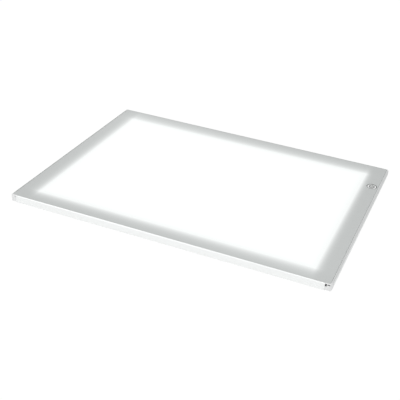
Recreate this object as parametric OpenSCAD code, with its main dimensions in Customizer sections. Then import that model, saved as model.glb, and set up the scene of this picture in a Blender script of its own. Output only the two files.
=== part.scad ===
// Slim LED light box for tracing and drawing.
// Frame: origin at the centre of the footprint, on the plane under the feet.
// +X runs to the right along the long side, +Y runs to the back, +Z up.
// All sizes are in millimetres.

/* [Overall size] */
// Overall width, side to side
body_w = 500; // [500:5:620]
// Overall depth, front to back
body_d = 374; // [374:2:460]
// Overall height, from the table to the work surface
body_h = 14; // [14:0.5:17]

/* [Lit window] */
// Width of the evenly lit window
window_w = 431.8; // [380:0.2:431.8]
// Depth of the evenly lit window
window_d = 304.8; // [240:0.2:304.8]

/* [Rails] */
// Width of the side rails, seen from above
side_rail_w = 10.4; // [10:0.1:10.8]
// Width of the lip of a side rail beside the top plate
side_lip = 3; // [2.8:0.1:4]
// Radius on the upper outer edge of the side rails
side_edge_r = 3; // [1:0.5:3]
// Radius on the lower outer edge of the side rails
side_under_r = 5; // [3:0.5:5]
// Thickness of the faces of the front and rear rails
front_lip = 1.5; // [1.2:0.1:1.6]
// Width of the lip of the front and rear rails beside the top plate
front_top_lip = 2; // [1.6:0.1:2.4]
// Radius on the upper outer edge of the front and rear rails
front_edge_r = 1.2; // [0.2:0.1:1.3]
// Radius on the lower outer edge of the front and rear rails
front_under_r = 1.5; // [0.4:0.1:1.5]
// Depth of the front and rear rails, from the face to the lamp web
front_rail_d = 13.7; // [13:0.1:13.7]

/* [Corner caps] */
// Depth of a corner cap, from its face to the end of the side rail
cap_t = 7; // [6:0.5:8]
// Radius on the upright outer edge of a corner cap
cap_corner_r = 5; // [3:0.5:5]
// Radius on the lower front edge of a corner cap
cap_under_r = 3.5; // [2:0.5:4]
// Width of the upright notch beside the end of the front rail
notch_w = 2.2; // [1:0.1:2.2]
// Bottom of the upright notch of the right caps, down from the top edge
notch_h = 4.5; // [4:0.1:6]
// Bottom of the shallow notch of the left caps, down from the top edge
shallow_notch_h = 3.4; // [3:0.1:6]
// Height of the bridge over a notch
notch_bridge = 0.7; // [0.6:0.1:1.2]
// Width of the slot in the face of the front right cap
lift_slot_w = 3.8; // [1:0.1:3.8]

/* [Top plate] */
// Thickness of the acrylic top plate
plate_t = 2; // [1.5:0.1:2]
// Chamfer round the upper edge of the top plate
plate_chamfer = 0.25; // [0.1:0.05:0.4]
// Corner radius of the pocket that holds the top plate
plate_corner_r = 3; // [1:0.5:3]

/* [Light guide] */
// Thickness of the light guide
guide_t = 4; // [3:0.5:4]
// Margin of the light guide beyond the window at each side
guide_margin = 3.1; // [2:0.1:3.2]
// Thickness of the foam under the reflector
foam_t = 3.2; // [2:0.1:3.2]

/* [Lamp strips] */
// Distance between neighbouring lamps
led_pitch = 12; // [8:1:24]
// Width of one lamp package
led_w = 3.5; // [2:0.1:4]
// Height of one lamp package
led_h = 2.8; // [1.4:0.1:2.8]

/* [Power switch] */
// Distance of the button's centre from the right outer face
button_inset = 13.4; // [13:0.1:14]
// Distance of the button's centre behind the middle of the box
button_y = 112; // [104:1:118]
// Diameter of the button
button_d = 14.2; // [12:0.1:15.4]
// Width of the trim ring round the button
ring_w = 1.15; // [0.8:0.05:1.2]
// Depth of the finger dish in the button
dish_depth = 0.3; // [0.1:0.05:0.4]

/* [Power inlet] */
// Distance of the inlet from the middle, towards the right
jack_x = 190; // [100:1:195]
// Inner radius of the inlet's mouth
jack_bore_r = 2.2; // [2.15:0.05:2.25]
// Length of the inlet's mouth ahead of the centre pin
jack_mouth = 3; // [2:0.5:3]

/* [Feet] */
// Height of the feet with their adhesive
foot_h = 2; // [2:0.1:2]
// Diameter of a foot
foot_d = 14; // [8:1:20]

/* [Hidden] */
$fn = 48;
slack = 0.05; // small overlap or clearance
half_w = body_w / 2;
half_d = body_d / 2;

// levels, from the base up
base_t = 1;
flange_t = 1.2;
mask_t = 0.2;
tape_t = 0.3;
ledge_t = 0.9;
base_z = foot_h;
flange_z0 = base_z + base_t;
flange_z1 = flange_z0 + flange_t;
plate_z = body_h - plate_t;
mask_z = plate_z - mask_t;
ledge_z1 = mask_z - tape_t;
ledge_z0 = ledge_z1 - ledge_t;

// rails; the side rails run between the caps
side_wall = 2.4;
cap_gap = 0.15;
rail_gap = 0.1;
side_len = body_d - 2 * (cap_t + cap_gap);
front_len = body_w - 2 * (side_rail_w + rail_gap);
web_t = 1.5;
web_y = half_d - front_rail_d;

// inner faces of the pocket that holds the top plate
pocket_x = half_w - side_lip;
pocket_y = half_d - front_top_lip;
plate_gap = 0.2;

// light stack
reflector_t = 0.3;
diffuser_t = 0.5;
film_t = 0.25;
reflector_z = flange_z0 + foam_t;
guide_z = reflector_z + reflector_t;
diffuser_z = guide_z + guide_t;
film_z = diffuser_z + diffuser_t;

// lamp strips
led_tape_t = 0.2;
led_board_t = 1;
led_d = 1.2;
led_gap = 0.4;
guide_half_w = window_w / 2 + guide_margin;
guide_half_d = web_y - led_tape_t - led_board_t - led_d - led_gap;
led_z = guide_z + guide_t / 2;
led_count = floor((2 * guide_half_w - 8) / led_pitch);
strip_x = guide_half_w - 2; // half length of a strip

// power button and its ring
button_x = half_w - button_inset;
button_r = button_d / 2;
bore_r = button_r + 0.15;
ring_r = bore_r + ring_w;

// screws, with places on the right and rear sides
screw_head_r = 2.3;
screw_shank_r = 1.2;
screw_hole_r = screw_shank_r + slack;
side_screw_x = half_w - 8;
front_screw_y = half_d - 7.2;
cap_screw_y = half_d - 13.5;
bracket_screw_x = half_w - 25;
bracket_screw_y = half_d - 27;
front_screw_x = [-175, -116, -58, 0, 58, 116, 175];
side_screw_y = [-130, -65, 0, 40];

// colours shared by several pieces
side_color = [0.86, 0.87, 0.88];
front_color = [0.9, 0.905, 0.91];
cap_color = [0.84, 0.85, 0.86];
screw_color = [0.7, 0.71, 0.73];
led_board_color = [0.93, 0.93, 0.9];
led_color = [0.98, 0.93, 0.7];
led_cable_color = [0.75, 0.1, 0.1];

// ---------- helpers ----------

// Box between two corners
module box(from, to) {
  translate(from) cube(to - from);
}

// Flat rectangle between two corners
module rect(from, to) {
  translate(from) square(to - from);
}

// The child and its mirror image, left to right
module both_x() {
  for (side = [0, 1]) mirror([side, 0, 0]) children();
}

// The child and its mirror image, front to back
module both_y() {
  for (side = [0, 1]) mirror([0, side, 0]) children();
}

// Copies for the four corners; the child is drawn for the front right one
module at_corners() {
  both_x() both_y() children();
}

module at_button(z = 0) {
  translate([button_x, button_y, z]) children();
}

// Outline from an outer face at 0 inwards, rounded above and below
module rounded_edge(top_r, under_r) {
  depth = 20;
  rect([max(top_r, under_r), base_z], [depth, body_h]);
  rect([0, base_z + under_r], [depth, body_h - top_r]);
  translate([top_r, body_h - top_r]) circle(r = top_r);
  translate([under_r, base_z + under_r]) circle(r = under_r);
  rect([top_r, body_h - top_r - slack], [depth, body_h]);
  rect([under_r, base_z], [depth, base_z + under_r + slack]);
}

// Outline of the pocket of the top plate, drawn in by an inset
module plate_outline(inset) {
  r = plate_corner_r - inset;
  x = pocket_x - inset;
  y = pocket_y - inset;
  rect([-x, -y + r], [x, y - r]);
  rect([-x + r, -y], [x - r, y]);
  for (sx = [-1, 1], sy = [-1, 1]) translate([sx * (x - r), sy * (y - r)]) circle(r = r);
}

// Cross slot in a screw head
module cross_slot(half_l, half_t, z0, z1) {
  for (angle = [0, 90]) rotate(angle)
    box([-half_l, -half_t, z0], [half_l, half_t, z1]);
}

// Countersunk screw from below, head flush with the base, shank up to a length
module csk_screw(x, y, length) {
  tip_h = 0.3;
  translate([x, y, base_z]) difference() {
    union() {
      cylinder(r1 = screw_head_r, r2 = screw_shank_r, h = screw_head_r - screw_shank_r);
      translate([0, 0, 0.2]) cylinder(r = screw_shank_r, h = length - 0.5);
      translate([0, 0, length - tip_h])
        cylinder(r1 = screw_shank_r, r2 = screw_shank_r - 0.3, h = tip_h);
    }
    cross_slot(half_l = screw_head_r * 0.55, half_t = 0.25, z0 = -1, z1 = 0.7);
  }
}

// Matching countersunk hole from below
module csk_hole(x, y) {
  translate([x, y, base_z]) {
    translate([0, 0, -0.5]) cylinder(r = screw_head_r + slack, h = 0.5);
    cylinder(r1 = screw_head_r + slack, r2 = screw_hole_r, h = screw_head_r - screw_shank_r);
    translate([0, 0, 0.1]) cylinder(r = screw_hole_r, h = 4);
  }
}

// ---------- rails ----------

module side_section() {
  intersection() {
    union() {
      rect([0, base_z], [side_wall, body_h]);
      // rib behind the lower curve
      rect([0, base_z], [side_under_r, flange_z0 + slack]);
      rect([0, ledge_z0], [side_lip, body_h]);
      rect([side_wall - slack, ledge_z0], [8.5, ledge_z1]);
      rect([side_wall - slack, flange_z0], [side_rail_w, flange_z1]);
    }
    rounded_edge(side_edge_r, side_under_r);
  }
}

// Holes in the right flange for the screws from below
module side_flange_holes() {
  corner_y = [cap_screw_y, bracket_screw_y];
  for (y = concat(side_screw_y, corner_y, -corner_y)) csk_hole(side_screw_x, y);
}

// Drilled side rail, at the right
module side_rail() {
  difference() {
    translate([half_w, side_len / 2, 0]) rotate([90, 0, 0])
      linear_extrude(height = side_len) mirror([1, 0]) side_section();
    side_flange_holes();
  }
}

module right_rail() {
  color(side_color) difference() {
    side_rail();
    // clearance for the switch under the ledge
    at_button(ledge_z0 - 1) cylinder(r = ring_r + 0.8, h = 3.2);
  }
}

module left_rail() {
  color(side_color) mirror([1, 0, 0]) side_rail();
}

module front_section() {
  groove_z = [5.4, 6.9, 8.4];
  difference() {
    union() {
      intersection() {
        union() {
          rect([0, base_z], [front_lip, body_h]);
          rect([0, ledge_z0], [front_top_lip, body_h]);
        }
        rounded_edge(front_edge_r, front_under_r);
      }
      rect([front_lip - slack, ledge_z0], [front_rail_d, ledge_z1]);
      rect([front_lip - slack, flange_z0], [front_rail_d, flange_z1]);
      rect([front_rail_d - web_t, flange_z0], [front_rail_d, ledge_z1]);
    }
    // shallow grooves inside the face
    for (z = groove_z) rect([front_lip - 0.2, z - 0.2], [front_lip + 0.1, z + 0.2]);
  }
}

module front_flange_holes() {
  for (x = concat(front_screw_x, [-bracket_screw_x, bracket_screw_x]))
    csk_hole(x, -front_screw_y);
}

// Drilled long rail, at the front
module long_rail() {
  difference() {
    translate([-front_len / 2, -half_d, 0]) rotate([90, 0, 90])
      linear_extrude(height = front_len) front_section();
    front_flange_holes();
  }
}

module front_rail() {
  color(front_color) long_rail();
}

module rear_rail() {
  color(front_color) difference() {
    mirror([0, 1, 0]) long_rail();
    // opening for the nose of the power inlet
    jack_cylinder(y = half_d + 1, r = 3, h = 4.3);
    // opening in the lamp web for the power wires
    box([half_w - 25, web_y - 1, flange_z1], [half_w - 16, web_y + 3, ledge_z0]);
  }
}

// ---------- corner caps ----------

bracket_t = 2;
bracket_z0 = flange_z1 + slack;
bracket_z1 = bracket_z0 + bracket_t;
bracket_x = half_w - 2.8;  // outer side of a bracket
bracket_y = -half_d + 3.1; // front of a front bracket
notch_x = half_w - 9.9;    // inner side of a notch
// slot in the face of the front right cap
slot_x1 = half_w - 3.1;
slot_x0 = slot_x1 - lift_slot_w;
slot_z0 = body_h - 2.55;
slot_z1 = body_h - 1.15;
slot_depth = 1.1;

// Block of the front right cap, rounded on its outer edges
module cap_block() {
  inner_x = half_w - side_rail_w;
  back_y = -half_d + cap_t + 1;
  intersection() {
    translate([half_w, -half_d + cap_t, 0]) rotate([90, 0, 0])
      linear_extrude(height = cap_t) mirror([1, 0])
        intersection() {
          rounded_edge(side_edge_r, side_under_r);
          rect([0, base_z], [side_rail_w, body_h]);
        }
    // upright outer edge
    linear_extrude(height = body_h + 2) {
      rect([inner_x, -half_d], [half_w - cap_corner_r, back_y]);
      rect([inner_x, -half_d + cap_corner_r], [half_w, back_y]);
      translate([half_w - cap_corner_r, -half_d + cap_corner_r]) circle(r = cap_corner_r);
    }
    // upper and lower front edges
    translate([half_w - 20, -half_d, 0]) rotate([90, 0, 90]) linear_extrude(height = 22)
      rounded_edge(front_edge_r, cap_under_r);
  }
}

// Cap for the front right corner
module corner_cap(slot = false, deep = true) {
  notch_bottom = deep ? notch_h : shallow_notch_h;
  notch_depth = deep ? front_lip : 0.8;
  difference() {
    union() {
      cap_block();
      // plug that goes into the end of the side rail
      box([half_w - 9.8, -half_d + cap_t - slack, bracket_z1 + 0.2],
          [half_w - side_wall - 0.2, -half_d + 20, ledge_z0 - 0.2]);
    }
    // seat of the top plate, its mask and tape
    translate([0, 0, ledge_z1 + 0.1]) linear_extrude(height = 5) plate_outline(0);
    // room for the base plate
    box([half_w - 12, -half_d + cap_under_r + slack, 0],
        [half_w - side_under_r - 0.1, -half_d + 9, flange_z0 + slack]);
    // slot for the corner bracket
    box([half_w - 12, bracket_y - 0.1, flange_z1],
        [bracket_x + 0.1, -half_d + 9, bracket_z1 + 0.1]);
    // upright notch beside the end of the long rail
    box([notch_x, -half_d - 1, body_h - notch_bottom],
        [notch_x + notch_w, -half_d + notch_depth, body_h - notch_bridge]);
    if (slot)
      box([slot_x0, -half_d - 1, slot_z0], [slot_x1, -half_d + slot_depth, slot_z1]);
    // shadow gap at the end of the side rail
    box([half_w - 0.4, -half_d + cap_t - 0.5, 0], [half_w + 1, -half_d + cap_t + 1, body_h]);
    // hole for the screw from below
    translate([side_screw_x, -cap_screw_y, 6]) cylinder(r = screw_hole_r, h = 2.6);
  }
}

module front_right_cap() { color(cap_color) corner_cap(slot = true); }
module front_left_cap() { color(cap_color) mirror([1, 0, 0]) corner_cap(deep = false); }
module rear_right_cap() { color(cap_color) mirror([0, 1, 0]) corner_cap(); }
module rear_left_cap() {
  color(cap_color) mirror([0, 1, 0]) mirror([1, 0, 0]) corner_cap(deep = false);
}

// Dark foam pads in the deep notches and the slot
module corner_seals() {
  color([0.06, 0.06, 0.06]) {
    both_y()
      box([notch_x + slack, -half_d + 0.3, body_h - notch_h + slack],
          [notch_x + notch_w - slack, -half_d + front_lip - slack,
           body_h - notch_bridge - slack]);
    box([slot_x0 + slack, -half_d + 0.45, slot_z0 + slack],
        [slot_x1 - slack, -half_d + slot_depth - slack, slot_z1 - slack]);
  }
}

// ---------- corner joints and fasteners ----------

// screws of the front right bracket into the two rails
bracket_screw_pts = [[bracket_screw_x, -front_screw_y], [side_screw_x, -bracket_screw_y]];

module corner_brackets() {
  front_arm_w = 7.4;
  side_arm_w = 7.5;
  color([0.72, 0.73, 0.75]) at_corners() difference() {
    union() {
      box([half_w - 45, bracket_y, bracket_z0],
          [bracket_x, bracket_y + front_arm_w, bracket_z1]);
      box([bracket_x - side_arm_w, bracket_y, bracket_z0],
          [bracket_x, -half_d + 33, bracket_z1]);
    }
    for (p = concat(bracket_screw_pts, [[side_screw_x, -cap_screw_y]]))
      translate([p[0], p[1], 3]) cylinder(r = screw_hole_r, h = 5);
  }
}

module bracket_screws() {
  color(screw_color) at_corners()
    for (p = bracket_screw_pts) csk_screw(p[0], p[1], length = 4.2);
}

module cap_screws() {
  color(screw_color) at_corners() csk_screw(side_screw_x, -cap_screw_y, length = 6.3);
}

// ---------- base ----------

foot_pts = [for (sx = [-1, 0, 1]) for (sy = [-1, 1]) [sx * (half_w - 45), sy * (half_d - 37)]];
foot_tape_t = 0.2;

module base_plate() {
  base_x = half_w - side_under_r - 0.15;
  base_y = half_d - 1.7;
  color([0.82, 0.83, 0.84]) difference() {
    box([-base_x, -base_y, base_z], [base_x, base_y, flange_z0]);
    // corners left to the caps
    at_corners()
      box([half_w - side_rail_w - rail_gap, -half_d, base_z - 1],
          [half_w, -half_d + cap_under_r + 0.15, flange_z0 + 1]);
    both_y() front_flange_holes();
    both_x() side_flange_holes();
  }
}

module base_screws() {
  color(screw_color) {
    both_y() for (x = front_screw_x) csk_screw(x, -front_screw_y, length = 3.2);
    both_x() for (y = side_screw_y) csk_screw(side_screw_x, y, length = 2.7);
  }
}

module rubber_feet() {
  r = foot_d / 2;
  top_z = foot_h - foot_tape_t;
  color([0.16, 0.16, 0.17]) for (p = foot_pts)
    translate([p[0], p[1], 0]) rotate_extrude()
      polygon([[0, 0], [r - 1, 0], [r - 0.45, 0.25], [r - 0.05, 1.2], [r, top_z], [0, top_z]]);
}

module foot_tapes() {
  color([0.85, 0.84, 0.8]) for (p = foot_pts)
    translate([p[0], p[1], foot_h - foot_tape_t])
      cylinder(r = foot_d / 2 - 0.5, h = foot_tape_t);
}

// ---------- top ----------

module top_plate() {
  chamfer_side = plate_chamfer * sqrt(2);
  color([0.93, 0.94, 0.95]) difference() {
    translate([0, 0, plate_z]) linear_extrude(height = plate_t) plate_outline(plate_gap);
    // chamfer along the four upper edges
    both_x() translate([pocket_x - plate_gap, 0, body_h]) rotate([0, 45, 0])
      cube([chamfer_side, body_d, chamfer_side], center = true);
    both_y() translate([0, pocket_y - plate_gap, body_h]) rotate([45, 0, 0])
      cube([body_w, chamfer_side, chamfer_side], center = true);
    at_button(plate_z - 1) cylinder(r = ring_r + slack, h = plate_t + 2);
  }
}

module border_mask() {
  color([0.76, 0.78, 0.77]) difference() {
    translate([0, 0, mask_z]) linear_extrude(height = mask_t) plate_outline(0.3);
    box([-window_w / 2, -window_d / 2, mask_z - 1], [window_w / 2, window_d / 2, plate_z + 1]);
    at_button(mask_z - 1) cylinder(r = ring_r + 0.15, h = 3);
  }
}

module plate_tapes() {
  front_x = half_w - 11;
  side_y = side_len / 2 - 0.2;
  color([0.2, 0.2, 0.2]) {
    both_y() box([-front_x, -pocket_y + 0.3, ledge_z1], [front_x, -web_y - 0.7, mask_z]);
    difference() {
      both_x() box([half_w - 8.3, -side_y, ledge_z1], [pocket_x - 0.3, side_y, mask_z]);
      at_button(ledge_z1 - 1) cylinder(r = ring_r + 1.1, h = 3);
    }
  }
}

// ---------- light stack ----------

// Sheet under the window, drawn in from the light guide's outline by an inset
module sheet(z, thickness, inset = 0) {
  x = guide_half_w - inset;
  y = guide_half_d - inset;
  box([-x, -y, z], [x, y, z + thickness]);
}

module brightness_film() { color([0.9, 0.92, 0.95]) sheet(film_z, film_t); }
module diffuser_sheet() { color([0.97, 0.97, 0.97]) sheet(diffuser_z, diffuser_t); }
module light_guide() { color([0.85, 0.93, 0.95]) sheet(guide_z, guide_t); }
module reflector_sheet() { color([0.95, 0.95, 0.94]) sheet(reflector_z, reflector_t); }
module backing_foam() { color([0.88, 0.88, 0.86]) sheet(flange_z0, foam_t, inset = 1); }

module guide_spacers() {
  spacer_y = guide_half_d - 6;
  color([0.25, 0.25, 0.26]) both_x()
    box([guide_half_w + 0.3, -spacer_y, flange_z0],
        [guide_half_w + 2.8, spacer_y, diffuser_z - 0.1]);
}

// ---------- lamp strips ----------

// front and rear faces of the front lamp board
led_board_y0 = -web_y + led_tape_t;
led_board_y1 = led_board_y0 + led_board_t;

module led_board() {
  hole_x = strip_x - 2;
  difference() {
    box([-strip_x, led_board_y0, flange_z1 + 0.6], [strip_x, led_board_y1, ledge_z1 - 0.3]);
    for (x = [-hole_x, hole_x])
      translate([x, -web_y, led_z]) rotate([90, 0, 0]) cylinder(r = 0.9, h = 6, center = true);
  }
}

module front_led_board() { color(led_board_color) led_board(); }
module rear_led_board() { color(led_board_color) mirror([0, 1, 0]) led_board(); }

// Front row of lamps, each with a round dish in its inner face
module led_row() {
  face_y = led_board_y1 + led_d;
  for (i = [0:led_count - 1]) {
    x = (i - (led_count - 1) / 2) * led_pitch;
    difference() {
      box([x - led_w / 2, led_board_y1, led_z - led_h / 2],
          [x + led_w / 2, face_y, led_z + led_h / 2]);
      translate([x, face_y - 0.3, led_z]) rotate([-90, 0, 0])
        cylinder(r1 = led_h * 0.36, r2 = led_h * 0.42, h = 0.35, $fn = 24);
    }
  }
}

module front_leds() { color(led_color) led_row(); }
module rear_leds() { color(led_color) mirror([0, 1, 0]) led_row(); }

module led_tapes() {
  color([0.55, 0.6, 0.68]) both_y()
    box([-strip_x, -web_y, flange_z1 + 0.8], [strip_x, led_board_y0, ledge_z1 - 0.5]);
}

// ---------- driver electronics ----------

board_z0 = 5;
board_z1 = 6.2;
board_y0 = 62;
board_y1 = 150;
// lengthwise column of parts near the board's left edge, and one right of it
left_parts_x = half_w - 21;
right_parts_x = half_w - 12;
standoff_pts = [for (x = [half_w - 23, half_w - 13.5]) for (y = [71.5, 142]) [x, y]];
// centre x and wire face y of each connector
front_led_plug = [half_w - 17, board_y0 + 0.4];
rear_led_plug = [half_w - 18.2, board_y1 - 0.4];
power_plug = [half_w - 9, board_y1 - 0.4];
pin_x = 1.3; // wire holes, either side of a connector's centre
pin_z = 1.4; // wire holes, above the board

module driver_board() {
  color([0.1, 0.35, 0.2]) difference() {
    box([half_w - 27, board_y0, board_z0], [half_w - 5, board_y1, board_z1]);
    for (p = standoff_pts) translate([p[0], p[1], board_z0 - 1]) cylinder(r = 1.1, h = 3);
  }
}

module board_standoffs() {
  color([0.78, 0.66, 0.36]) for (p = standoff_pts)
    translate([p[0], p[1], flange_z0]) difference() {
      cylinder(r = 2.2, h = board_z0 - flange_z0);
      translate([0, 0, 0.3]) cylinder(r = 1.05, h = 3);
    }
}

module board_screws() {
  color([0.75, 0.76, 0.78]) for (p = standoff_pts)
    translate([p[0], p[1], 0]) difference() {
      union() {
        translate([0, 0, flange_z0 + 0.5]) cylinder(r = 1, h = board_z1 - flange_z0 - 0.4);
        translate([0, 0, board_z1]) cylinder(r1 = 1.9, r2 = 1.6, h = 1);
      }
      cross_slot(half_l = 1, half_t = 0.2, z0 = board_z1 + 0.4, z1 = board_z1 + 2);
    }
}

// Small chip package with two rows of leads
module chip() {
  half_x = 1.95;
  length = 4.9;
  leads = 4; // on each side
  box([-half_x, -length / 2, 0.1], [half_x, length / 2, 1.6]);
  for (i = [0:leads - 1]) {
    y = -length / 2 + (i + 0.5) * length / leads;
    both_x() box([half_x - 0.2, y - 0.2, 0], [half_x + 0.9, y + 0.2, 0.3]);
  }
}

module driver_chips() {
  color([0.08, 0.08, 0.09])
    for (y = [82, 128]) translate([left_parts_x, y, board_z1]) chip();
}

module power_coil() {
  color([0.3, 0.3, 0.32]) translate([right_parts_x, 84, board_z1]) difference() {
    union() {
      box([-3.6, -3.6, 0], [3.6, 3.6, 0.8]);
      cylinder(r = 3.5, h = 2.8);
    }
    translate([0, 0, 2.4]) cylinder(r = 1.6, h = 1);
  }
}

module board_capacitors() {
  color([0.55, 0.57, 0.6])
    for (p = [[left_parts_x, 94], [right_parts_x, 95], [left_parts_x, 136]])
      translate([p[0], p[1], board_z1]) {
        box([-2.6, -2.6, 0], [2.6, 2.6, 0.6]);
        cylinder(r = 2.45, h = 2.7);
      }
}

// Wire connector; wires enter the face at y = 0 and the body lies behind it
module connector() {
  difference() {
    box([-3, 0, 0], [3, 4.2, 2.7]);
    for (x = [-pin_x, pin_x])
      translate([x, -1, pin_z]) rotate([-90, 0, 0]) cylinder(r = 0.75, h = 2, $fn = 24);
  }
}

module board_connectors() {
  color([0.93, 0.92, 0.86]) {
    translate([front_led_plug[0], front_led_plug[1], board_z1]) connector();
    for (plug = [rear_led_plug, power_plug])
      translate([plug[0], plug[1], board_z1]) mirror([0, 1, 0]) connector();
  }
}

// ---------- power switch ----------

dome_z = 7.22;
plunger_r = 1.75;
plunger_z0 = 7.95;
plunger_z1 = 9.3;
// button: lower edge of the skirt, underside of the cap, stem
skirt_z = mask_z - 1.3;
cap_under_z = body_h - 1.6;
stem_r = 1.6;
legend_z = body_h - 0.75;
// radius of the sphere that cuts the finger dish
dish_r = (pow(button_r - 0.7, 2) + pow(dish_depth, 2)) / (2 * dish_depth);

module tact_switch() {
  color([0.12, 0.12, 0.13]) at_button() difference() {
    union() {
      box([-3, -3, board_z1], [3, 3, 8.2]);
      for (x = [-3.4, 3.4], y = [-2.2, 2.2])
        box([x - 0.6, y - 0.35, board_z1], [x + 0.6, y + 0.35, board_z1 + 0.4]);
    }
    // opening for the plunger over a wider seat for the dome
    translate([0, 0, 7.35]) cylinder(r = 1.9, h = 2);
    translate([0, 0, 7.2]) cylinder(r = 2.3, h = 0.35);
  }
}

module switch_dome() {
  color([0.8, 0.8, 0.8]) at_button(dome_z) difference() {
    cylinder(r1 = 2.2, r2 = 1.7, h = 0.28);
    translate([0, 0, -0.01]) cylinder(r1 = 2.05, r2 = 1.55, h = 0.14);
  }
}

module switch_plunger() {
  tip_h = 0.2;
  color([0.2, 0.2, 0.22]) at_button() {
    translate([0, 0, plunger_z0]) cylinder(r = plunger_r, h = plunger_z1 - plunger_z0 - tip_h);
    translate([0, 0, plunger_z1 - tip_h])
      cylinder(r1 = plunger_r, r2 = plunger_r - 0.2, h = tip_h);
  }
}

// Power symbol as an upright prism: an arc open at the back and a short bar
module power_symbol(grow) {
  gap_y = 7; // reach of the wedge that opens the arc
  gap_x = gap_y * tan(38) - grow;
  difference() {
    cylinder(r = 4.3 + grow, h = 1);
    translate([0, 0, -1]) cylinder(r = 3.25 - grow, h = 3);
    translate([0, 0, -1]) linear_extrude(height = 3)
      polygon([[0, 0], [-gap_x, gap_y], [gap_x, gap_y]]);
  }
  box([-0.6 - grow, 0.9 - grow, 0], [0.6 + grow, 4.2 + grow, 1]);
}

// Sphere that cuts the finger dish, lowered by a drop
module dish_sphere(drop = 0) {
  translate([0, 0, body_h - dish_depth - drop + dish_r]) sphere(r = dish_r, $fn = 360);
}

module power_button() {
  bevel = 0.3;
  color([0.9, 0.91, 0.91]) at_button() {
    difference() {
      union() {
        cylinder(r = button_r, h = body_h - bevel);
        translate([0, 0, body_h - bevel])
          cylinder(r1 = button_r, r2 = button_r - bevel, h = bevel);
        translate([0, 0, skirt_z]) cylinder(r = button_r + 0.9, h = 0.65);
      }
      // everything under the lower edge of the skirt
      translate([0, 0, -1]) cylinder(r = button_r + 2, h = skirt_z + 1);
      // hollow under the cap, with the stem left standing
      difference() {
        translate([0, 0, skirt_z - 1]) cylinder(r = button_r - 1, h = cap_under_z - skirt_z + 1);
        cylinder(r = stem_r, h = body_h);
      }
      dish_sphere();
      translate([0, 0, legend_z]) power_symbol(0.02);
    }
    // stem down to the plunger
    translate([0, 0, plunger_z1]) cylinder(r = stem_r, h = cap_under_z - plunger_z1);
  }
}

module button_legend() {
  color([0.2, 0.21, 0.22]) at_button() difference() {
    translate([0, 0, legend_z]) power_symbol(0);
    // top that follows the finger dish, a hair below it
    dish_sphere(drop = 0.03);
  }
}

// Trim ring with a half-round crown
module button_ring() {
  under_h = mask_z - 0.6 + 1; // cuts from z = -1 to the ring's underside
  crown_r = ring_w / 2;
  color([0.42, 0.43, 0.44]) at_button() difference() {
    union() {
      cylinder(r = ring_r, h = body_h - crown_r);
      translate([0, 0, body_h - crown_r]) rotate_extrude()
        translate([ring_r - crown_r, 0]) circle(r = crown_r);
      cylinder(r = ring_r + 0.6, h = mask_z - 0.02);
    }
    translate([0, 0, -1]) cylinder(r = button_r + 1.1, h = under_h);
    translate([0, 0, -1]) cylinder(r = bore_r, h = body_h + 2);
    translate([0, 0, -1]) difference() {
      cylinder(r = ring_r + 2, h = under_h);
      cylinder(r = button_r + 1, h = body_h);
    }
  }
}

// ---------- power inlet ----------

jack_z = 6.9;
jack_pin_r = 0.65;
jack_pin_y = half_d - 3.9; // rear end of the pin's straight part

// Cylinder on the inlet's axis, running forward from y
module jack_cylinder(y, r, h) {
  translate([jack_x, y, jack_z]) rotate([90, 0, 0]) cylinder(r = r, h = h);
}

module dc_jack() {
  color([0.1, 0.1, 0.1]) difference() {
    union() {
      box([jack_x - 3.25, half_d - 11, 4.35],
          [jack_x + 3.25, half_d - front_lip - slack, 9.5]);
      jack_cylinder(y = half_d - 0.1, r = 2.9, h = 3);
    }
    // mouth, clear of the centre pin
    jack_cylinder(y = half_d + 1, r = jack_bore_r, h = 1.1 + jack_mouth);
    // barrel that holds the centre pin
    jack_cylinder(y = half_d - 1, r = 1.8, h = 8.2);
  }
}

module jack_contacts() {
  color([0.8, 0.8, 0.78]) {
    // centre pin
    jack_cylinder(y = jack_pin_y, r = jack_pin_r, h = 5.3);
    translate([jack_x, jack_pin_y, jack_z]) sphere(r = jack_pin_r, $fn = 24);
    // side spring, against the wall of the barrel
    box([jack_x - 0.5, half_d - 8.8, jack_z + 1.35], [jack_x + 0.5, half_d - 3.6, jack_z + 1.6]);
  }
}

// ---------- cables ----------

wire_r = 0.65;
wire_in = 0.9;               // length of wire inside a connector
strip_end_x = strip_x + 0.1; // start of the lamp wires
strip_wire_y = web_y - 0.75;
low_wire_z = 6;
high_wire_z = 8.2;
outer_lane_x = half_w - 24.3;
inner_lane_x = half_w - 26;

// Point on the axis of a wire hole: side -1 left or 1 right, offset from the wire face
function pin_pt(plug, side, offset) =
  [plug[0] + side * pin_x, plug[1] + offset, board_z1 + pin_z];

// Round wire through a list of points
module wire(pts) {
  for (i = [0:len(pts) - 2]) {
    run = pts[i + 1] - pts[i];
    length = norm(run);
    translate(pts[i])
      rotate([0, acos(run[2] / length), atan2(run[1], run[0])])
        cylinder(r = wire_r, h = length, $fn = 24);
    // elbow, a little fuller than the wire
    if (i > 0) translate(pts[i]) sphere(r = wire_r + 0.04, $fn = 24);
  }
}

module front_led_cable() {
  floor_z = 3.9;
  color(led_cable_color) {
    wire([[strip_end_x, -strip_wire_y, low_wire_z], [inner_lane_x, -strip_wire_y, low_wire_z],
          [inner_lane_x, -web_y + 9, floor_z], [inner_lane_x, 48, floor_z],
          pin_pt(front_led_plug, -1, -6.4), pin_pt(front_led_plug, -1, wire_in)]);
    wire([[strip_end_x, -strip_wire_y, high_wire_z], [outer_lane_x, -strip_wire_y, high_wire_z],
          [outer_lane_x, -web_y + 11, floor_z], [outer_lane_x, 46, floor_z],
          pin_pt(front_led_plug, 1, -7.4), pin_pt(front_led_plug, 1, wire_in)]);
  }
}

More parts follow.
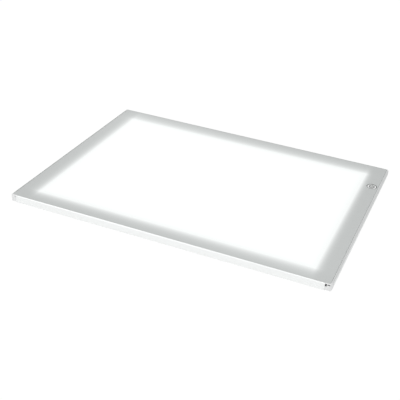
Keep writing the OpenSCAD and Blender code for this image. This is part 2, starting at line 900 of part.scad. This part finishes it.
module rear_led_cable() {
  color(led_cable_color) {
    wire([[strip_end_x, strip_wire_y, low_wire_z], [inner_lane_x, strip_wire_y, low_wire_z],
          [inner_lane_x, 166, 4.2], [rear_led_plug[0] - pin_x, 158, 5],
          pin_pt(rear_led_plug, -1, 2.8), pin_pt(rear_led_plug, -1, -wire_in)]);
    wire([[strip_end_x, strip_wire_y, high_wire_z], [outer_lane_x, strip_wire_y, high_wire_z],
          [outer_lane_x, 167, 4.2], [rear_led_plug[0] + pin_x, 158.5, 5],
          pin_pt(rear_led_plug, 1, 2.8), pin_pt(rear_led_plug, 1, -wire_in)]);
  }
}

module power_cable() {
  start_x = jack_x + 3.3;
  web_pass_y = web_y - 3.6;
  color([0.12, 0.12, 0.13]) {
    wire([[start_x, half_d - 6, 8.5], [half_w - 22, half_d - 6, 8.5],
          [half_w - 22, web_pass_y, 8.5],
          pin_pt(power_plug, -1, 6.4), pin_pt(power_plug, -1, -wire_in)]);
    wire([[start_x, half_d - 8, 7.1], [half_w - 19.6, half_d - 8, 7.1],
          [half_w - 19.6, web_pass_y, 8.5],
          pin_pt(power_plug, 1, 7.4), pin_pt(power_plug, 1, -wire_in)]);
  }
}

// ---------- drawing ----------

left_rail();
right_rail();
front_rail();
rear_rail();
front_left_cap();
front_right_cap();
rear_left_cap();
rear_right_cap();
corner_seals();
corner_brackets();
bracket_screws();
cap_screws();
base_plate();
base_screws();
rubber_feet();
foot_tapes();
top_plate();
border_mask();
plate_tapes();
brightness_film();
diffuser_sheet();
light_guide();
reflector_sheet();
backing_foam();
guide_spacers();
front_led_board();
rear_led_board();
front_leds();
rear_leds();
led_tapes();
driver_board();
board_standoffs();
board_screws();
driver_chips();
power_coil();
board_capacitors();
board_connectors();
tact_switch();
switch_dome();
switch_plunger();
power_button();
button_legend();
button_ring();
dc_jack();
jack_contacts();
front_led_cable();
rear_led_cable();
power_cable();
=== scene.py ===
"""Looks for a slim edge-lit light box: materials, studio, camera.

The box lies flat, centred in x and y, with its acrylic work surface facing +Z. Front is -Y
and right is +X. Lengths are in metres unless marked mm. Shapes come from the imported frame.
"""

import math

import bpy
from mathutils import Matrix, Vector


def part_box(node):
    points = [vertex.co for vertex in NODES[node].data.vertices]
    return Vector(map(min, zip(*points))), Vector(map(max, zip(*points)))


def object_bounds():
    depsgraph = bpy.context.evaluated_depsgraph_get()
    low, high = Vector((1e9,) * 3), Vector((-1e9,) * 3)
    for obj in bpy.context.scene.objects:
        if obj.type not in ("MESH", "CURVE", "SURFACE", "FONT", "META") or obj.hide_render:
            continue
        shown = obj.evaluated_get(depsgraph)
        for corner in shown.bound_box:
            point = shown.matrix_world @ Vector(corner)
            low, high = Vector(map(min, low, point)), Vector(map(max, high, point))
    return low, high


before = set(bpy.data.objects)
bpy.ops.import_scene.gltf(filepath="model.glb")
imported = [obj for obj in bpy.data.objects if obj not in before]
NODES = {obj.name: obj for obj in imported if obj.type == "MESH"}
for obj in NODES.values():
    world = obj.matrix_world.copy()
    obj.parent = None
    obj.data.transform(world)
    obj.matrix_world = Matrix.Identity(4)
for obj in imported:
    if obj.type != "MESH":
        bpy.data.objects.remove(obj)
cad_low, cad_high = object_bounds()
HALF_X, HALF_Y = cad_high[0], cad_high[1]

# ------------------------------------------------------------------ colours


def linear(level):
    """sRGB 0..255 to linear 0..1."""
    c = level / 255.0
    return c / 12.92 if c <= 0.04045 else ((c + 0.055) / 1.055) ** 2.4


def rgb(red, green, blue):
    return (linear(red), linear(green), linear(blue), 1.0)


def shade(color, factor):
    """The colour made darker or lighter, held at or below 1."""
    return (*(min(c * factor, 1) for c in color[:3]), 1)


# ------------------------------------------------------------------ node helpers


class Nodes:
    """Adds nodes to the emptied tree of a material or world."""

    def __init__(self, owner):
        owner.use_nodes = True
        self.nt = owner.node_tree
        self.nt.nodes.clear()

    def node(self, kind, **props):
        node = self.nt.nodes.new(kind)
        for key, value in props.items():
            setattr(node, key, value)
        return node

    def link(self, source, target):
        self.nt.links.new(source, target)

    def put(self, socket, value):
        """Link a socket, or store a plain value."""
        if isinstance(value, bpy.types.NodeSocket):
            self.link(value, socket)
        else:
            socket.default_value = value

    def math(self, op, a, b=0.0):
        node = self.node("ShaderNodeMath", operation=op)
        for socket, value in zip(node.inputs, (a, b, 0.0)):
            self.put(socket, value)
        return node.outputs[0]

    def add(self, a, b):
        return self.math("ADD", a, b)

    def sub(self, a, b):
        return self.math("SUBTRACT", a, b)

    def mul(self, a, b):
        return self.math("MULTIPLY", a, b)

    def sum_squares(self, a, b):
        return self.add(self.mul(a, a), self.mul(b, b))

    def blend(self, a, a_weight, b, b_weight):
        return self.add(self.mul(a, a_weight), self.mul(b, b_weight))

    def pick(self, selector, a, b):
        """a where the selector is 0, b where it is 1."""
        return self.add(self.mul(self.sub(1.0, selector), a), self.mul(selector, b))

    def split(self, vector):
        node = self.node("ShaderNodeSeparateXYZ")
        self.link(vector, node.inputs[0])
        return node.outputs

    def remap(self, value, span=(0.3, 0.7), to=(0, 1), smooth=False):
        """Carry span onto the range to. The default span is where most noise lies."""
        node = self.node("ShaderNodeMapRange")
        if smooth:
            node.interpolation_type = "SMOOTHSTEP"
        self.put(node.inputs["Value"], value)
        for key, limit in zip(("From Min", "From Max", "To Min", "To Max"), (*span, *to)):
            node.inputs[key].default_value = limit
        return node.outputs[0]


class Surface(Nodes):
    """One material built round a Principled shader, textured in object space."""

    def __init__(self, name):
        self.material = bpy.data.materials.new(name)
        super().__init__(self.material)
        output = self.node("ShaderNodeOutputMaterial")
        self.shader = self.node("ShaderNodeBsdfPrincipled")
        self.link(self.shader.outputs[0], output.inputs["Surface"])
        self.place = self.node("ShaderNodeTexCoord").outputs["Object"]

    def normals(self):
        return self.split(self.node("ShaderNodeNewGeometry").outputs["Normal"])

    def scaled(self, scale, rotation=(0, 0, 0)):
        node = self.node("ShaderNodeMapping")
        node.inputs["Scale"].default_value = scale
        node.inputs["Rotation"].default_value = rotation
        self.link(self.place, node.inputs["Vector"])
        return node.outputs[0]

    def noise(self, scale=1.0, detail=2.0, rough=0.5, at=None):
        node = self.node("ShaderNodeTexNoise")
        self.link(at or self.place, node.inputs["Vector"])
        node.inputs["Scale"].default_value = scale
        node.inputs["Detail"].default_value = detail
        node.inputs["Roughness"].default_value = rough
        return node.outputs["Fac"]

    def cells(self, scale, feature="F1", at=None):
        node = self.node("ShaderNodeTexVoronoi", feature=feature)
        self.link(at or self.place, node.inputs["Vector"])
        node.inputs["Scale"].default_value = scale
        return node.outputs["Distance"]

    def mix(self, factor, a, b):
        node = self.node("ShaderNodeMix", data_type="RGBA")
        self.put(node.inputs["Factor"], factor)
        self.put(node.inputs[6], a)
        self.put(node.inputs[7], b)
        return node.outputs[2]

    def tint(self, pattern, color, dark, light, span=(0.3, 0.7)):
        """Vary a colour between two shades with a pattern."""
        return self.mix(self.remap(pattern, span=span), shade(color, dark), shade(color, light))

    def bump(self, height, distance, strength):
        node = self.node("ShaderNodeBump")
        node.inputs["Strength"].default_value = strength
        node.inputs["Distance"].default_value = distance
        self.put(node.inputs["Height"], height)
        return node.outputs[0]

    def finish(self, **values):
        """Fill the shader's inputs and return the material."""
        for key, value in values.items():
            self.put(self.shader.inputs[key.replace("_", " ")], value)
        return self.material


# ------------------------------------------------------------------ finishes


def anodised(name, color, axis, painted_side_shade=1.0):
    """Satin anodised extrusion: fine die lines along one axis, faint cloudiness; a side factor
    below 1 paints shade onto the faces turned sideways.
    """
    mat = Surface(name)
    fine = {"x": (6, 5200, 5200), "y": (5200, 6, 5200)}[axis]
    wide = {"x": (1.5, 700, 700), "y": (700, 1.5, 700)}[axis]
    lines = mat.noise(rough=0.6, at=mat.scaled(fine))
    bands = mat.noise(at=mat.scaled(wide))
    cloud = mat.noise(scale=18, detail=3)
    streaks = mat.blend(lines, 0.65, bands, 0.35)
    tone = mat.tint(streaks, color, dark=0.965, light=1.02)
    if painted_side_shade < 1:
        # painted shade: faces turned to the left or right are darker than the top
        sideways = mat.math("ABSOLUTE", mat.normals()[0])
        side = mat.remap(sideways, span=(0.45, 0.95), smooth=True)
        tone = mat.mix(side, tone, shade(color, painted_side_shade))
    return mat.finish(
        Base_Color=tone,
        Metallic=1.0,
        Roughness=mat.add(mat.remap(lines, to=(0.31, 0.41)), mat.remap(cloud, to=(-0.02, 0.02))),
        Normal=mat.bump(streaks, distance=0.000012, strength=0.6),
    )


def moulded(name, color, rough, grain, depth=0.000012, specular=0.5, painted_under_shade=1.0):
    """Grained moulding. Its under-shade factor, below 1, paints shade onto its corners where
    they face down.
    """
    mat = Surface(name)
    pits = mat.cells(grain, feature="SMOOTH_F1")
    fine = mat.noise(scale=grain * 0.6, detail=3, rough=0.6)
    height = mat.blend(pits, 0.6, fine, 0.4)
    face = mat.tint(mat.noise(scale=40), color, dark=0.97, light=1.02)
    if painted_under_shade < 1:
        # painted shade: corners that face down and sideways take a darker colour
        normal_x, normal_y, normal_z = mat.normals()
        low = mat.remap(normal_z, span=(-0.15, -0.5), smooth=True)
        slant = mat.mul(mat.math("ABSOLUTE", normal_x), mat.math("ABSOLUTE", normal_y))
        corner = mat.remap(slant, span=(0.05, 0.16), smooth=True)
        face = mat.mix(mat.mul(low, corner), face, shade(color, painted_under_shade))
    return mat.finish(
        Base_Color=face,
        Roughness=mat.remap(fine, to=(rough - 0.06, rough + 0.06)),
        Specular_IOR_Level=specular,
        Normal=mat.bump(height, distance=depth, strength=0.7),
    )


def powder(name, color):
    """Fine powder coat on sheet metal."""
    mat = Surface(name)
    coarse = mat.noise(scale=900, detail=3, rough=0.55)
    fine = mat.noise(scale=3500)
    return mat.finish(
        Base_Color=mat.tint(mat.noise(scale=7), color, dark=0.97, light=1.02),
        Roughness=mat.remap(fine, to=(0.46, 0.58)),
        Normal=mat.bump(mat.add(coarse, mat.mul(fine, 0.4)), distance=0.00003, strength=0.6),
    )


def metal(name, color, rough, turned=False):
    """Metal with fine lines along x, or along z where turned."""
    mat = Surface(name)
    lines = mat.noise(rough=0.6, at=mat.scaled((3000, 3000, 60) if turned else (40, 3000, 3000)))
    spots = mat.noise(scale=350)
    return mat.finish(
        Base_Color=mat.tint(spots, color, dark=0.93, light=1.03, span=(0.35, 0.7)),
        Metallic=1.0,
        Roughness=mat.remap(lines, to=(rough - 0.07, rough + 0.07)),
        Normal=mat.bump(lines, distance=0.00001, strength=0.5),
    )


def foam(name, color, cell=1800, specular=0.5):
    """Open-celled foam."""
    mat = Surface(name)
    bubbles = mat.cells(cell)
    fine = mat.noise(scale=cell * 0.3, detail=3)
    return mat.finish(
        Base_Color=mat.tint(bubbles, color, dark=0.8, light=1.1, span=(0.1, 0.6)),
        Roughness=mat.remap(fine, to=(0.85, 0.97)),
        Specular_IOR_Level=specular,
        Normal=mat.bump(bubbles, distance=0.00012, strength=0.8),
    )


def rubber(name, color):
    """Dull rubber with paler dusty patches."""
    mat = Surface(name)
    fine = mat.noise(scale=1500, detail=3)
    dust = mat.noise(scale=220, detail=3, rough=0.7)
    return mat.finish(
        Base_Color=mat.tint(dust, color, dark=1, light=1.9, span=(0.5, 0.75)),
        Roughness=mat.remap(fine, to=(0.68, 0.85)),
        Normal=mat.bump(fine, distance=0.00003, strength=0.7),
    )


def board(name, mask, trace, pad):
    """Solder mask over copper: straight traces and round pads."""
    mat = Surface(name)
    bricks = mat.node("ShaderNodeTexBrick")
    mat.link(mat.scaled((1, 1, 1)), bricks.inputs["Vector"])
    layout = {"Scale": 160, "Mortar Size": 0.03, "Brick Width": 0.9, "Row Height": 0.33}
    for key, value in layout.items():
        bricks.inputs[key].default_value = value
    gaps = bricks.outputs["Fac"]
    pads = mat.math("LESS_THAN", mat.cells(210), 0.16)
    weave = mat.noise(at=mat.scaled((2500, 2500, 2500)))
    copper = mat.mix(gaps, trace, mask)
    return mat.finish(
        Base_Color=mat.mix(pads, copper, pad),
        Metallic=mat.mul(pads, 0.8),
        Roughness=mat.remap(weave, to=(0.3, 0.42)),
        Normal=mat.bump(mat.add(gaps, mat.mul(pads, 0.5)), distance=0.00004, strength=0.5),
    )


def film(name, color, pitch, rough, dots=True):
    """Optical sheet: a field of pale dots, or fine ridges."""
    mat = Surface(name)
    if dots:
        distance = mat.cells(pitch, at=mat.scaled((1, 1, 0)))
        height = mat.remap(distance, span=(0.12, 0.24), to=(1, 0), smooth=True)
        tone = mat.mix(height, color, (0.97, 0.98, 0.98, 1))
    else:
        wave = mat.node("ShaderNodeTexWave")
        mat.link(mat.place, wave.inputs["Vector"])
        wave.inputs["Scale"].default_value = pitch
        height = wave.outputs["Fac"]
        tone = mat.mix(height, shade(color, 0.96), color)
    return mat.finish(
        Base_Color=tone,
        Roughness=mat.remap(mat.noise(scale=120), to=(rough - 0.04, rough + 0.06)),
        Normal=mat.bump(height, distance=0.00002, strength=0.6),
    )


def jacket(name, color):
    """Smooth cable jacket."""
    mat = Surface(name)
    fine = mat.noise(scale=1200)
    return mat.finish(
        Base_Color=mat.tint(mat.noise(scale=60), color, dark=0.9, light=1.08),
        Roughness=mat.remap(fine, to=(0.32, 0.44)),
        Normal=mat.bump(fine, distance=0.00001, strength=0.5),
    )


# ------------------------------------------------------------------ work surface

BORDER = rgb(196, 199, 198)  # border print
FULL_GLOW = 1 - linear(197.5)  # emission that lifts the border to white
# the edge factor is darker than the top one as painted shade, so the hairline gap round the
# plate and the corner notches read dark
TOP_SHADE, EDGE_PAINTED_SHADE = 0.952, 0.85  # border colour on the upper face, and on chamfer and edges

ACRYLIC_DEPTH, ACRYLIC_IOR = 0.0046, 1.49
GLOW_SHIFT_X = 0.00135  # the lit window sits this far left of centre
# per side: inset from the outer edge where the light is full (mm), reach of the falloff
# outwards from there (mm), exponent of the falloff, light left at the edge
GLOW = {
    "left": (33.5, 7.25, 1.2, 0.04),
    "right": (31.65, 5.75, 1.55, 0.02),
    "front": (31.15, 9.0, 1.1, 0.0),
    "rear": (32.1, 11.75, 0.95, 0.0),
}
# extra light further in: inset where it starts (mm), reach of its rise (mm), strength
INNER_START, INNER_REACH, INNER_GAIN = 34.0, 12.0, 0.24
# unevenness between opposite corners: in the falloff's exponent, and in the print's tone
SWAY_POWER, SWAY_TONE, MEAN_TONE = 0.15, 0.03, 1.006
# light leak at the rear left corner: insets from the left and rear edges, radius, strength
LEAK_INSET_X, LEAK_INSET_Y, LEAK_RADIUS, LEAK_GAIN = 0.024, 0.022, 0.012, 0.07


def falloff(mat, inset, full, reach, shape, base):
    """Light at an inset (mm) from one edge, for one row of GLOW."""
    outside = mat.math("DIVIDE", mat.math("MAXIMUM", mat.sub(full, inset), 0.0), reach)
    fall = mat.math("EXPONENT", mat.mul(mat.math("POWER", outside, shape), -1.0))
    return mat.math("MINIMUM", mat.add(fall, base), 1.0)


def sight_lines(mat, incoming):
    """x and y on the surface, and where the bent line of sight meets the print below it."""
    in_x, in_y, _ = mat.split(incoming)
    sideways = mat.sum_squares(in_x, in_y)
    downwards = mat.math("SQRT", mat.sub(ACRYLIC_IOR * ACRYLIC_IOR, sideways))
    slope = mat.math("DIVIDE", ACRYLIC_DEPTH, downwards)
    x, y, _ = mat.split(mat.place)
    return x, y, mat.sub(x, mat.mul(in_x, slope)), mat.sub(y, mat.mul(in_y, slope))


def window_glow(mat, x, y, under_x, under_y, sway):
    """Unused and empty: it computes nothing and is deleted below."""


def work_surface():
    """Clear acrylic over a light grey border print and a lit window lying below it."""
    mat = Surface("acrylic_work_surface")
    geometry = mat.node("ShaderNodeNewGeometry").outputs
    x, y, under_x, under_y = sight_lines(mat, geometry["Incoming"])

    # insets from the outer edges, in mm
    inset_x = mat.sub(HALF_X, mat.math("ABSOLUTE", mat.add(under_x, GLOW_SHIFT_X)))
    inset_y = mat.sub(HALF_Y, mat.math("ABSOLUTE", under_y))
    inset_x, inset_y = mat.mul(inset_x, 1000.0), mat.mul(inset_y, 1000.0)
    glow_x = mat.pick(
        mat.math("GREATER_THAN", x, 0.0),
        falloff(mat, inset_x, *GLOW["left"]),
        falloff(mat, inset_x, *GLOW["right"]),
    )
    glow_y = mat.pick(
        mat.math("GREATER_THAN", y, 0.0),
        falloff(mat, inset_y, *GLOW["front"]),
        falloff(mat, inset_y, *GLOW["rear"]),
    )

    # front right and rear left are a little brighter than the other two corners
    sway = mat.mul(mat.math("DIVIDE", x, HALF_X), mat.math("DIVIDE", y, HALF_Y))
    soft = mat.math("MAXIMUM", mat.mul(glow_x, glow_y), 0.0)
    soft = mat.math("POWER", soft, mat.add(1.0, mat.mul(sway, SWAY_POWER)))
    inside = mat.sub(mat.math("MINIMUM", inset_x, inset_y), INNER_START)
    inside = mat.math("MAXIMUM", inside, 0.0)
    rise = mat.math("EXPONENT", mat.math("DIVIDE", inside, -INNER_REACH))
    glow = mat.add(soft, mat.mul(mat.sub(1.0, rise), INNER_GAIN))

    # only the upper face shows the light; the chamfer and the edges are dull
    flat = mat.math("GREATER_THAN", mat.split(geometry["True Normal"])[2], 0.9)
    leak_x = mat.add(x, HALF_X - LEAK_INSET_X)
    leak_y = mat.sub(y, HALF_Y - LEAK_INSET_Y)
    leak = mat.mul(mat.sum_squares(leak_x, leak_y), -1 / (2 * LEAK_RADIUS**2))
    glow = mat.add(glow, mat.mul(mat.math("EXPONENT", leak), LEAK_GAIN))
    glow = mat.mul(glow, flat)

    fine = mat.noise(scale=2400)
    wipe = mat.noise(detail=4, rough=0.6, at=mat.scaled((9, 16, 1), rotation=(0, 0, 0.5)))
    print_grain = mat.noise(scale=1400)
    tone = mat.tint(print_grain, BORDER, dark=0.985 * TOP_SHADE, light=1.01 * TOP_SHADE)
    evenness = mat.sub(MEAN_TONE, mat.mul(sway, SWAY_TONE))
    toned = mat.node("ShaderNodeVectorMath", operation="SCALE")
    mat.link(tone, toned.inputs[0])
    mat.link(evenness, toned.inputs["Scale"])
    return mat.finish(
        # painted shade: the chamfer and the edges take a darker border colour
        Base_Color=mat.mix(flat, shade(BORDER, EDGE_PAINTED_SHADE), toned.outputs[0]),
        Roughness=mat.add(mat.remap(wipe, to=(0.30, 0.38)), mat.remap(fine, to=(-0.02, 0.02))),
        IOR=ACRYLIC_IOR,
        Emission_Color=(0.985, 1.0, 1.0, 1.0),
        Emission_Strength=mat.mul(glow, FULL_GLOW),
        Normal=mat.bump(fine, distance=0.000002, strength=0.5),
    )


del window_glow

# ------------------------------------------------------------------ button and lamps

BUTTON = rgb(198, 200, 199)
BUTTON_EDGE = 0.0009  # from the button's outside in to the radius the bevel is set from
BEVEL_INNER, BEVEL_OUTER = 0.0016, 0.0013  # the bevel's tone fades in between these insets

LED_PITCH = 0.012
WINDOW_RADIUS_SQUARED = 0.0000011  # phosphor window


def button_face():
    """Satin moulding with a bevel round the finger dish that carries a painted highlight at its
    left and right.
    """
    mat = Surface("button_moulding_painted_highlight")
    low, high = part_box("power_button")
    radius = (high[0] - low[0]) / 2 - BUTTON_EDGE
    x, y, _ = mat.split(mat.place)
    off_x = mat.sub(x, (low[0] + high[0]) / 2)
    off_y = mat.sub(y, (low[1] + high[1]) / 2)
    distance = mat.math("SQRT", mat.sum_squares(off_x, off_y))
    rim_span = (radius - BEVEL_INNER, radius - BEVEL_OUTER)
    rim = mat.remap(distance, span=rim_span, smooth=True)
    # painted highlight: the bevel turns near white at its left and right
    across = mat.math("ABSOLUTE", off_x)
    across = mat.math("DIVIDE", across, mat.math("MAXIMUM", distance, 0.0001))
    side = mat.remap(across, span=(0.35, 0.8), smooth=True)
    grain = mat.cells(3200, feature="SMOOTH_F1")
    fine = mat.noise(scale=1900, detail=3, rough=0.6)
    face = mat.tint(mat.noise(scale=60), BUTTON, dark=0.97, light=1.02)
    bevel = mat.mix(side, shade(BUTTON, 0.92), (0.97, 0.975, 0.975, 1))
    return mat.finish(
        Base_Color=mat.mix(rim, face, bevel),
        Roughness=mat.add(mat.remap(fine, to=(0.30, 0.40)), mat.mul(rim, 0.1)),
        Normal=mat.bump(mat.blend(grain, 0.6, fine, 0.4), distance=0.000006, strength=0.7),
    )


def lamps():
    """White package with a round phosphor window that glows a little."""
    mat = Surface("lamp_package")
    normal_y = mat.normals()[1]
    x, _, z = mat.split(mat.place)
    face = mat.math("GREATER_THAN", mat.math("ABSOLUTE", normal_y), 0.5)
    # place within the lamp's cell, -0.5..0.5
    cell = mat.math("FRACT", mat.add(mat.math("DIVIDE", x, LED_PITCH), 0.5))
    cell = mat.sub(cell, 0.5)
    low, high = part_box("front_leds")
    across = mat.math("POWER", mat.mul(cell, LED_PITCH), 2.0)
    upwards = mat.math("POWER", mat.sub(z, (low[2] + high[2]) / 2), 2.0)
    squared = mat.add(across, upwards)
    window = mat.mul(face, mat.math("LESS_THAN", squared, WINDOW_RADIUS_SQUARED))
    fine = mat.noise(scale=2500)
    return mat.finish(
        Base_Color=mat.mix(window, (0.85, 0.85, 0.83, 1), (0.95, 0.78, 0.2, 1)),
        Roughness=mat.remap(fine, to=(0.3, 0.45)),
        Emission_Color=(1.0, 0.96, 0.85, 1),
        Emission_Strength=mat.mul(window, 1.5),
        Normal=mat.bump(fine, distance=0.00001, strength=0.4),
    )


# ------------------------------------------------------------------ pieces and their materials

finished = set()


def give(names, material):
    for name in names.split():
        materials = NODES[name].data.materials
        materials.clear()
        materials.append(material)
        finished.add(name)


ALUMINIUM = (0.898, 0.912, 0.908, 1)
give("front_rail rear_rail", anodised("anodised_x", ALUMINIUM, "x"))
give("left_rail right_rail", anodised("anodised_y_painted_side_shade", ALUMINIUM, "y", painted_side_shade=0.89))
give(
    "front_left_cap front_right_cap rear_left_cap rear_right_cap",
    moulded("cap_moulding_painted_under_shade", rgb(221, 222, 222), rough=0.42, grain=2400, painted_under_shade=0.6),
)
# painted shade: the corner seals' near-black, dull foam makes the corner notches and slots read
# as deep shadow
give("corner_seals", foam("seal_foam_painted_shade", (0.004, 0.004, 0.004, 1), specular=0.1))
give("plate_tapes guide_spacers", foam("dark_foam", (0.012, 0.012, 0.013, 1)))
give("corner_brackets", metal("bracket_steel", (0.66, 0.67, 0.69, 1), rough=0.34))
give(
    "bracket_screws cap_screws base_screws board_screws",
    metal("screw_steel", (0.68, 0.69, 0.7, 1), rough=0.24, turned=True),
)
give("base_plate", powder("base_powder_coat", rgb(222, 223, 223)))
give("rubber_feet", rubber("foot_rubber", (0.02, 0.02, 0.021, 1)))
give("foot_tapes", moulded("adhesive_tape", (0.62, 0.6, 0.52, 1), rough=0.7, grain=900))
give("top_plate", work_surface())
give("border_mask", moulded("border_print", BORDER, rough=0.6, grain=3000))
give(
    "brightness_film",
    film("prism_film", (0.86, 0.88, 0.92, 1), pitch=1800, rough=0.18, dots=False),
)
give("diffuser_sheet", film("opal_diffuser", (0.92, 0.93, 0.93, 1), pitch=900, rough=0.5))
give("light_guide", film("dotted_guide", (0.62, 0.8, 0.82, 1), pitch=520, rough=0.1))
give("reflector_sheet", film("white_reflector", (0.93, 0.93, 0.92, 1), pitch=700, rough=0.3))
give("backing_foam", foam("white_foam", (0.8, 0.8, 0.78, 1), cell=900))
give(
    "front_led_board rear_led_board",
    board(
        "lamp_board",
        mask=(0.86, 0.86, 0.82, 1),
        trace=(0.8, 0.8, 0.76, 1),
        pad=(0.8, 0.72, 0.5, 1),
    ),
)
give("led_tapes", moulded("thermal_tape", (0.22, 0.28, 0.4, 1), rough=0.7, grain=1200))
give(
    "driver_board",
    board(
        "driver_board_mask",
        mask=(0.012, 0.12, 0.045, 1),
        trace=(0.03, 0.2, 0.08, 1),
        pad=(0.75, 0.68, 0.45, 1),
    ),
)
give("board_standoffs", metal("brass", (0.72, 0.53, 0.22, 1), rough=0.22, turned=True))
give(
    "driver_chips tact_switch switch_plunger dc_jack",
    moulded("black_moulding", (0.02, 0.02, 0.022, 1), rough=0.45, grain=2000),
)
give("power_coil", moulded("ferrite", (0.05, 0.05, 0.055, 1), rough=0.6, grain=1400))
give("board_capacitors", metal("capacitor_can", (0.6, 0.61, 0.63, 1), rough=0.3))
give("board_connectors", moulded("ivory_nylon", (0.72, 0.69, 0.58, 1), rough=0.42, grain=1500))
give("switch_dome", metal("spring_strip", (0.7, 0.7, 0.7, 1), rough=0.2))
give("jack_contacts", metal("plated_contact", (0.75, 0.74, 0.7, 1), rough=0.16))
give("front_led_cable rear_led_cable", jacket("red_jacket", (0.42, 0.02, 0.02, 1)))
give("power_cable", jacket("black_jacket", (0.015, 0.015, 0.016, 1)))
give(
    "button_legend",
    moulded("legend_ink", rgb(18, 19, 20), rough=0.7, grain=2600, depth=0.000006, specular=0.2),
)
give(
    "button_ring",
    moulded("ring_moulding", rgb(84, 87, 87), rough=0.38, grain=2600, depth=0.000008),
)
give("power_button", button_face())
give("front_leds rear_leds", lamps())

missing = sorted(set(NODES) - finished)
if missing:
    raise RuntimeError("no material for " + ", ".join(missing))

# ------------------------------------------------------------------ studio

# brightness in reflections, in front of the box and behind it
FLOOR_FRONT, FLOOR_BACK = 0.67, 0.36
WORLD_FRONT, WORLD_BACK = 1.09, 0.66
FLOOR_SEEN = 0.955  # the floor's own light as the camera sees it


def studio_floor():
    """Large floor: white to the camera; in reflections bright in front, greyer behind."""
    bpy.ops.mesh.primitive_grid_add(
        x_subdivisions=8, y_subdivisions=8, size=60, location=(0, 0, 0)
    )
    floor = bpy.context.object
    floor.name = "studio_floor"
    mat = Surface("studio_floor")
    mottle = mat.noise(scale=3)
    seen = mat.node("ShaderNodeLightPath").outputs["Is Camera Ray"]
    x, y, _ = mat.split(mat.place)
    behind = mat.remap(y, span=(-0.30, 0.30), smooth=True)
    # beside the box the grey begins further forward
    beside_span = (HALF_X - 0.01, HALF_X + 0.05)
    beside = mat.remap(mat.math("ABSOLUTE", x), span=beside_span, smooth=True)
    forward = mat.remap(y, span=(-HALF_Y - 0.25, -HALF_Y), smooth=True)
    behind = mat.math("MAXIMUM", behind, mat.mul(beside, forward))
    glow = mat.sub(FLOOR_FRONT, mat.mul(behind, FLOOR_FRONT - FLOOR_BACK))
    grey = mat.mix(mat.remap(mottle), (0.35, 0.35, 0.35, 1), (0.36, 0.36, 0.36, 1))
    material = mat.finish(
        Base_Color=mat.mix(seen, grey, (0.07, 0.07, 0.07, 1)),
        Roughness=0.9,
        Specular_IOR_Level=0.0,
        Emission_Color=(1, 1, 1, 1),
        Emission_Strength=mat.add(mat.mul(seen, FLOOR_SEEN), mat.mul(mat.sub(1.0, seen), glow)),
    )
    floor.data.materials.append(material)


def studio_world():
    """Soft light all round: bright from the front, greyer behind the box."""
    world = bpy.data.worlds.new("studio")
    bpy.context.scene.world = world
    sky = Nodes(world)
    output = sky.node("ShaderNodeOutputWorld")
    background = sky.node("ShaderNodeBackground")
    direction = sky.split(sky.node("ShaderNodeTexCoord").outputs["Generated"])
    light = sky.remap(
        direction[1], span=(-0.3, 0.6), to=(WORLD_FRONT, WORLD_BACK), smooth=True
    )
    seen = sky.node("ShaderNodeLightPath").outputs["Is Camera Ray"]
    choice = sky.node("ShaderNodeMix", data_type="FLOAT")
    sky.link(seen, choice.inputs[0])
    sky.link(light, choice.inputs[2])
    choice.inputs[3].default_value = 1.0
    background.inputs["Color"].default_value = (1, 1, 1, 1)
    sky.link(choice.outputs[0], background.inputs["Strength"])
    sky.link(background.outputs[0], output.inputs[0])


def key_softbox():
    """Weak softbox at the front left, above the box and aimed at its centre."""
    light = bpy.data.lights.new("key_softbox", "AREA")
    light.shape = "RECTANGLE"
    light.size, light.size_y = 1.4, 1.0
    light.energy = 6.0
    lamp = bpy.data.objects.new("key_softbox", light)
    bpy.context.scene.collection.objects.link(lamp)
    lamp.location = (-0.9, -1.3, 1.9)
    aim = Vector((0, 0, 0)) - Vector((-0.9, -1.3, 1.9))
    lamp.rotation_euler = aim.to_track_quat("-Z", "Y").to_euler()


studio_floor()
studio_world()
key_softbox()

# ------------------------------------------------------------------ camera

# degrees: swing to the right of the front, height above the floor plane, roll
CAMERA_SWING, CAMERA_LIFT, CAMERA_ROLL = 21.18, 29.65, 3.89
CAMERA_PLACE = (0.38729, -1.04111, 0.61018)
SENSOR_MM, LENS_MM = 36.0, 70.956


def add_camera():
    swing, lift, roll = map(math.radians, (CAMERA_SWING, CAMERA_LIFT, CAMERA_ROLL))
    back = Vector(
        (math.sin(swing) * math.cos(lift), -math.cos(swing) * math.cos(lift), math.sin(lift))
    )
    level = Vector((0, 0, 1)).cross(back).normalized()
    upright = back.cross(level)
    right = level * math.cos(roll) + upright * math.sin(roll)
    up = upright * math.cos(roll) - level * math.sin(roll)
    lens = bpy.data.cameras.new("camera")
    lens.sensor_width = SENSOR_MM
    lens.lens = LENS_MM
    lens.clip_start, lens.clip_end = 0.01, 200
    camera = bpy.data.objects.new("camera", lens)
    bpy.context.scene.collection.objects.link(camera)
    pose = Matrix((right, up, back)).transposed().to_4x4()
    pose.translation = Vector(CAMERA_PLACE)
    camera.matrix_world = pose
    bpy.context.scene.camera = camera


add_camera()
view = bpy.context.scene.view_settings
view.view_transform = "Standard"
view.look = "None"
view.exposure = 0.0
view.gamma = 1.0
